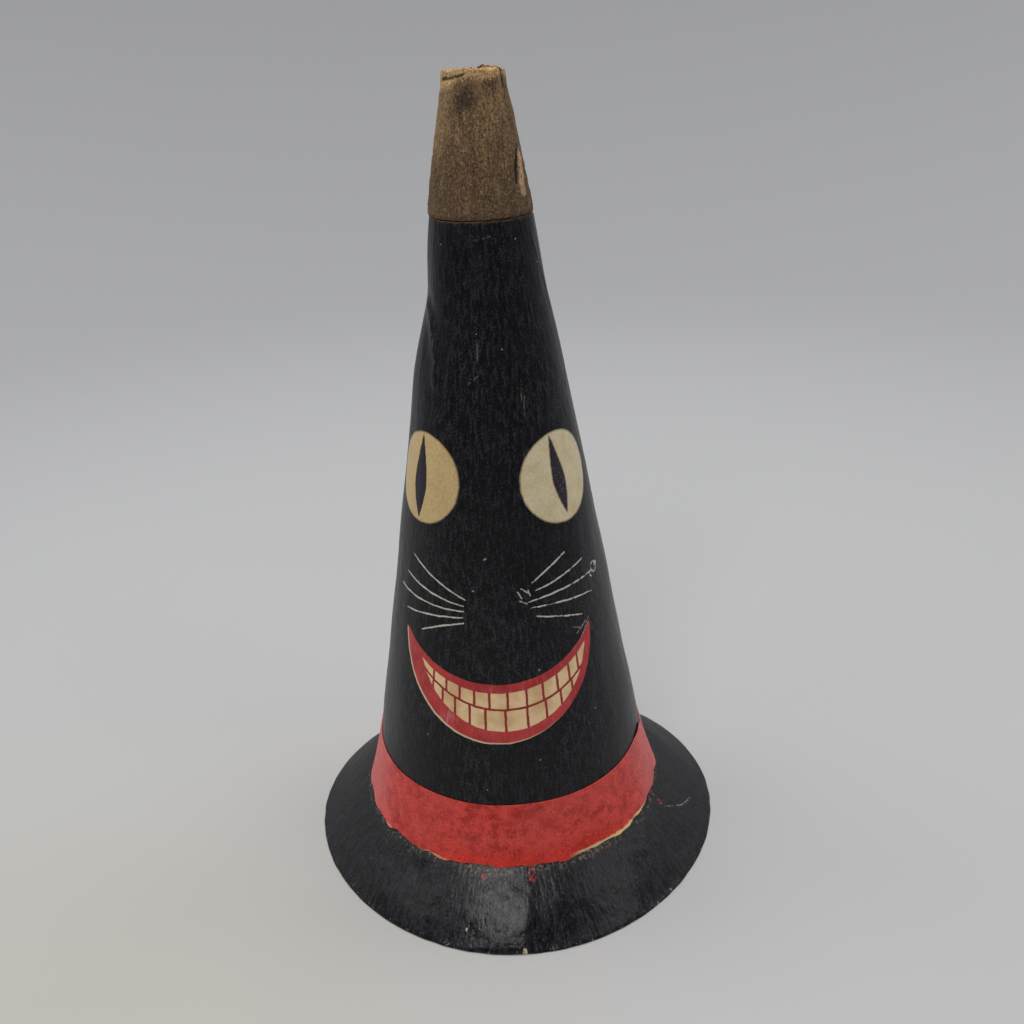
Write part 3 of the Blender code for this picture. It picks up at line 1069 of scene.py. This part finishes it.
# %% Press the brim
def make_brim(columns=400):
    """Rows over the upper side, round the edge, back under the skirt, and up the collar's inside."""
    turns = columns_round(columns)
    upper, outward = skirt(np.linspace(0, 0.965, 60))
    lower, lower_out = skirt(np.linspace(0.86, 0.06, 26))
    lower = lower - lower_out * BRIM_WALL
    corner = np.array([BRIM_REACH - 0.02, -0.05])
    rounding = curve(np.linspace(0, 1, 8)[1:, None], upper[-1], corner, np.array([BRIM_REACH - 1.1, 0.0]))
    under = np.array([[BRIM_REACH - EDGE_WIDTH, 0.0], [BRIM_REACH - EDGE_WIDTH - 0.25, 0.12]])
    inside = np.array([[taper(level) + 0.2, level] for level in (12.5, 15.0, 17.0, 19.0)])
    collar = np.array([[taper(level) + off, level] for level, off in ((19, 0.36), (17, 0.46), (15.2, 0.60))])
    parts = [collar, upper, rounding, under, lower, inside]
    counts = [len(part) for part in parts]
    section = np.concatenate(parts)
    edge_out = np.repeat(outward[-1:], len(rounding), 0)
    out = np.concatenate([0 * collar, outward, edge_out, 0 * under, -lower_out, 0 * inside])

    radius = section[:, :1] + 0 * turns
    height = section[:, 1:] + 0 * turns
    share = np.clip((radius - NECK_RADIUS) / (BRIM_REACH - NECK_RADIUS), 0, 1)
    lumps = 0.07 * ripple(turns, radius * 2, 41, 12, 5) + 0.018 * ripple(turns, radius * 2, 42, 50, 16)
    lumps = lumps + 0.60 * front_fold(turns, share) * smooth_step(share, 0.05, 0.4) * (out[:, 1:] > 0)
    lumps = lumps * smooth_step(share, 0.0, 0.15) * smooth_step(height, 0.0, 1.2)
    radius = radius + share * (brim_reach(turns) - BRIM_REACH) + out[:, :1] * lumps
    height = height + out[:, 1:] * lumps
    radius = radius + smooth_step(share, 0.9, 1.0) * 0.045 * ripple(turns, 0 * radius, 43, 60, 0)
    turn = np.broadcast_to(turns, radius.shape)
    sizes = np.repeat([0.4, 1.6, 0.8, 0.8, 0.9, 0.5], counts)
    piece = ring_piece("pulp_brim", radius, np.maximum(height, 0.0), turn, sizes, sharp=55)
    underside = np.repeat([0.0, 0.0, 0.0, 1.0, 1.0, 1.0], counts)
    mark_points(piece, "underside", np.repeat(underside, columns))
    return piece


pulp_brim = make_brim()

# %% [markdown]
# ## Gloss paint over pulp
#
# The brim's black is brushed on thickly, from the crown outwards. The brush leaves fine ridges that run
# towards the edge and break each highlight into short streaks. So the noise is read round the axis in a
# circle and only slowly along the radius. Chips along the edge and a smear of red by the band are the wear.

# %% The brim's finish
# Spots of the brim: turn, radius and size
CHIPS = [(0.5, 53.0, 0.7), (-53.0, 52.6, 0.6), (24, 54.2, 0.35), (-20, 53.8, 0.3), (-15.5, 49.5, 0.35)]
SMEARS = [(4.5, 40.3, 1.5), (-12.0, 40.0, 1.3), (67.0, 41.6, 0.9)]

# A chain of turn and radius
BRIM_SCRATCH = [(67.0, 43.0), (73.0, 46.5), (79.5, 48.7)]


def spots_on(finish, spots):
    """1 on the spots, each given by its turn, radius and size, seen from above."""
    masks = []
    for degrees, radius, size in spots:
        dx = finish.x * 1000 - radius * math.sin(math.radians(degrees))
        dy = finish.y * 1000 + radius * math.cos(math.radians(degrees))
        masks.append(finish.fade(dx.diagonal(dy), size, size * 0.6))
    return strongest(masks)


def paint_finish():
    finish = Finish("black_painted_pulp", specular=0.32)
    fade = finish.fade
    radius = finish.from_axis * 1000
    east = finish.x / finish.from_axis
    north = finish.y / finish.from_axis
    brushed = finish.node("ShaderNodeCombineXYZ", {}, {0: east, 1: north, 2: radius * 0.006})
    streak = finish.noise(brushed, 58, 3.0, 0.65)
    broad = finish.noise(brushed, 7)
    pit = finish.noise(finish.place, 1200, 3.0, 0.65)
    lump = finish.noise(finish.place, 240, 3.0)
    coats = Coats(finish, finish.mix(fade(streak, 0.40, 0.62), (8, 8, 10), (27, 28, 32)))
    # Painted glints: grey specks on the gloss black stand for small highlights of light.
    coats.lay(fade(pit, 0.56, 0.68) * 0.40, (62, 63, 68))
    edge_wear = fade(finish.height, 1.4, 0.2) * fade(pit, 0.62, 0.70) * fade(radius, 50, 52)
    chips = spots_on(finish, CHIPS).most(edge_wear * 0.5) * fade(pit, 0.3, 0.5)
    coats.lay(chips, (200, 184, 156))
    coats.lay(spots_on(finish, SMEARS) * fade(pit, 0.46, 0.56) * 0.7, (172, 44, 48))
    scuff = fade(radius + (lump - 0.5) * 3.0, 40.4, 38.9) * fade(pit, 0.50, 0.60)
    coats.lay(scuff * 0.55, (132, 108, 92))
    below = finish.marked("underside")
    bare_pulp = finish.mix(fade(lump, 0.35, 0.65), (126, 106, 84), (94, 78, 62))
    coats.lay(fade(below + (pit - 0.5) * 0.3, 0.4, 0.6), bare_pulp)
    scratch = mark_on(finish, finish.turn, radius, BRIM_SCRATCH, 46.0, 0.05, 0.22)
    coats.lay(scratch * fade(streak, 0.42, 0.54) * 0.5, (150, 146, 140))
    dull = fade(abs(east), 0.55, 0.90) * 0.30
    roughness = 0.13 + 0.36 * (streak - 0.3) + 0.08 * broad + dull + below * 0.4
    relief = (streak - 0.5) * 0.13 + (pit - 0.5) * 0.07 + (lump - 0.5) * 0.24
    return finish.use(coats.colour, roughness, relief)


dress(pulp_brim, paint_finish(), "brim")

# %% [markdown]
# ## Floor and light
#
# The hat stands on a plain pale floor that curves up far away on every side, like the paper sweep of a photo
# table, so no horizon shows from any angle. Its colour holds painted shade: it is darker further out and to
# the sides, so that a low view from the side isn't filled with glare. Most of the light comes from one wide
# soft box above and a little behind the hat, which keeps the upright sides darker than the floor. A smaller
# one behind the camera makes the bright patch on the front of the brim, two weak cards beside it lift the
# brim's left and right, and a box far out on each side gives the pale rims along the crown.

# %% The floor
def floor_finish():
    """Pale grey, warmer near the hat at the lower left, and with painted shade: darker further out and to the
    sides.
    """
    finish = Finish("pale_floor", specular=0.2)
    warm = finish.fade(finish.x, 0.06, -0.10) * finish.fade(finish.y, 0.10, -0.10)
    coats = Coats(finish, finish.mix(warm, (177, 177, 177), (177, 175, 166)))
    # Painted shade: the floor is made darker further out, and darker still to the sides and in front, where
    # less light falls.
    coats.lay(finish.fade(finish.from_axis, 0.20, 0.62), (165, 165, 166))
    coats.lay(finish.fade(abs(finish.x) - finish.y * 0.55, 0.25, 0.80), (134, 134, 136))
    return finish.use(coats.colour, 0.7)


def make_floor(side=2.8, steps=160, flat=0.6):
    """A square grid that stays level out to the flat radius and then rises by half the square of the distance
    beyond it."""
    line = np.linspace(-side, side, steps + 1)
    x, y = np.meshgrid(line, line, indexing="ij")
    rise = 0.5 * np.clip(np.hypot(x, y) - flat, 0, 2.2) ** 2
    i, j = np.meshgrid(np.arange(steps), np.arange(steps), indexing="ij")
    first = (i * (steps + 1) + j).ravel()
    faces = np.stack([first, first + steps + 1, first + steps + 2, first + 1], axis=-1)
    mesh = bpy.data.meshes.new("floor")
    mesh.from_pydata(np.stack([x, y, rise], axis=-1).reshape(-1, 3), [], faces)
    mesh.shade_smooth()
    mesh.materials.append(floor_finish())
    put_in_scene("floor", mesh)


# %% Room and soft boxes
def light_room(colour, strength):
    world = bpy.data.worlds.new("room")
    bpy.context.scene.world = world
    world.use_nodes = True
    background = world.node_tree.nodes["Background"]
    background.inputs["Color"].default_value = colour
    background.inputs["Strength"].default_value = strength


def add_soft_box(name, place, target, size, power, colour=(1.0, 1.0, 1.0)):
    """A square area light that faces a target."""
    light = bpy.data.lights.new(name, "AREA")
    light.size = size
    light.energy = power
    light.color = colour
    box = put_in_scene(name, light)
    box.location = place
    aim = Vector(target) - Vector(place)
    box.rotation_euler = aim.to_track_quat("-Z", "Y").to_euler()


make_floor()
light_room(linear(210, 214, 224), 0.32)
add_soft_box("ceiling_box", (0.0, 0.35, 1.7), (0, 0.1, 0), 1.4, 19.6)
add_soft_box("window", (-0.19, -0.65, 0.77), (0, 0, 0.02), 0.38, 2.7, (1.0, 0.99, 0.98))
add_soft_box("left_card", (-0.76, -0.30, 0.62), (0, 0, 0.02), 0.40, 0.66)
add_soft_box("right_card", (0.70, -0.38, 0.62), (0, 0, 0.02), 0.40, 0.80)
add_soft_box("left_box", (-1.1, 0.4, 0.95), (0, 0, 0.08), 0.8, 4.3)
add_soft_box("right_box", (1.1, 0.4, 0.95), (0, 0, 0.08), 0.8, 4.3)
bpy.context.scene.view_settings.view_transform = "Standard"
